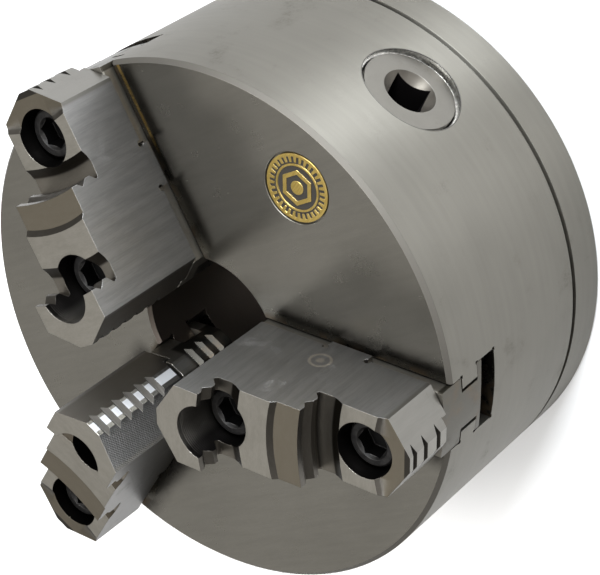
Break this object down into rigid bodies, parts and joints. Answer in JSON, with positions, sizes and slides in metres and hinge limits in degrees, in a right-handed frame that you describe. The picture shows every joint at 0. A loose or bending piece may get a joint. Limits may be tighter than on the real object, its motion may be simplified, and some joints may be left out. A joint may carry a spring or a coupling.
{
  "type": "lathe chuck",
  "caption": "Self-centring scroll chuck with stepped two-piece jaws in radial T-ways, bevel pinions with square key sockets, through bore and flat rear mounting face.",
  "frame": {"origin": "on the chuck's axis, at the rear mounting face", "axes": "+Z along the axis towards the work; +Y towards jaw 1; jaws at 90, 330 and 210 degrees and pinions at 30, 150 and 270 degrees, counted from +X towards +Y"},
  "size_m": [0.16, 0.1622, 0.1212],
  "materials": {
    "body_steel": "satin ground, warm grey",
    "cover_steel": "satin turned, warm grey",
    "jaw_steel": "ground, case hardened",
    "master_steel": "ground, case hardened",
    "pinion_steel": "turned, hardened",
    "hardened_steel": "hardened and oiled",
    "black_oxide": "black oxide",
    "brass_badge": "satin, black filled"
  },
  "bodies": {
    "chuck_body": {"body": "body_steel", "rear_cover": "cover_steel", "cover_screw_1": "black_oxide", "cover_screw_2": "black_oxide", "cover_screw_3": "black_oxide", "cover_screw_4": "black_oxide", "cover_screw_5": "black_oxide", "cover_screw_6": "black_oxide", "pinion_pin_1": "black_oxide", "pinion_pin_2": "black_oxide", "pinion_pin_3": "black_oxide", "badge": "brass_badge"},
    "scroll": {"scroll_plate": "hardened_steel"},
    "pinion_1": {"pinion_1": "pinion_steel"},
    "pinion_2": {"pinion_2": "pinion_steel"},
    "pinion_3": {"pinion_3": "pinion_steel"},
    "jaw_1": {"master_jaw_1": "master_steel", "top_jaw_1": "jaw_steel", "inner_jaw_screw_1": "black_oxide", "outer_jaw_screw_1": "black_oxide"},
    "jaw_2": {"master_jaw_2": "master_steel", "top_jaw_2": "jaw_steel", "inner_jaw_screw_2": "black_oxide", "outer_jaw_screw_2": "black_oxide"},
    "jaw_3": {"master_jaw_3": "master_steel", "top_jaw_3": "jaw_steel", "inner_jaw_screw_3": "black_oxide", "outer_jaw_screw_3": "black_oxide"}
  },
  "joints": [
    {"name": "scroll_turn", "type": "hinge", "parent": "chuck_body", "child": "scroll", "pos_m": [0, 0, 0.0568], "axis": [0, 0, 1], "range_deg": [-360, 450]},
    {"name": "pinion_1_turn", "type": "hinge", "parent": "chuck_body", "child": "pinion_1", "pos_m": [0.05196, 0.03, 0.038], "axis": [0.866, 0.5, 0], "range_deg": [-1801, 1441]},
    {"name": "pinion_2_turn", "type": "hinge", "parent": "chuck_body", "child": "pinion_2", "pos_m": [-0.05196, 0.03, 0.038], "axis": [-0.866, 0.5, 0], "range_deg": [-1801, 1441]},
    {"name": "pinion_3_turn", "type": "hinge", "parent": "chuck_body", "child": "pinion_3", "pos_m": [0, -0.06, 0.038], "axis": [0, -1, 0], "range_deg": [-1801, 1441]},
    {"name": "jaw_1_slide", "type": "slide", "parent": "chuck_body", "child": "jaw_1", "axis": [0, -1, 0], "range_m": [-0.00802, 0.01002]},
    {"name": "jaw_2_slide", "type": "slide", "parent": "chuck_body", "child": "jaw_2", "axis": [-0.866, 0.5, 0], "range_m": [-0.00802, 0.01002]},
    {"name": "jaw_3_slide", "type": "slide", "parent": "chuck_body", "child": "jaw_3", "axis": [0.866, 0.5, 0], "range_m": [-0.00802, 0.01002]}
  ],
  "couplings": [
    {"joint": "pinion_1_turn", "follows": "scroll_turn", "ratio": -4},
    {"joint": "pinion_2_turn", "follows": "scroll_turn", "ratio": -4},
    {"joint": "pinion_3_turn", "follows": "scroll_turn", "ratio": -4},
    {"joint": "jaw_1_slide", "follows": "scroll_turn", "m_per_rad": 0.0012732},
    {"joint": "jaw_2_slide", "follows": "scroll_turn", "m_per_rad": 0.0012732},
    {"joint": "jaw_3_slide", "follows": "scroll_turn", "m_per_rad": 0.0012732}
  ]
}
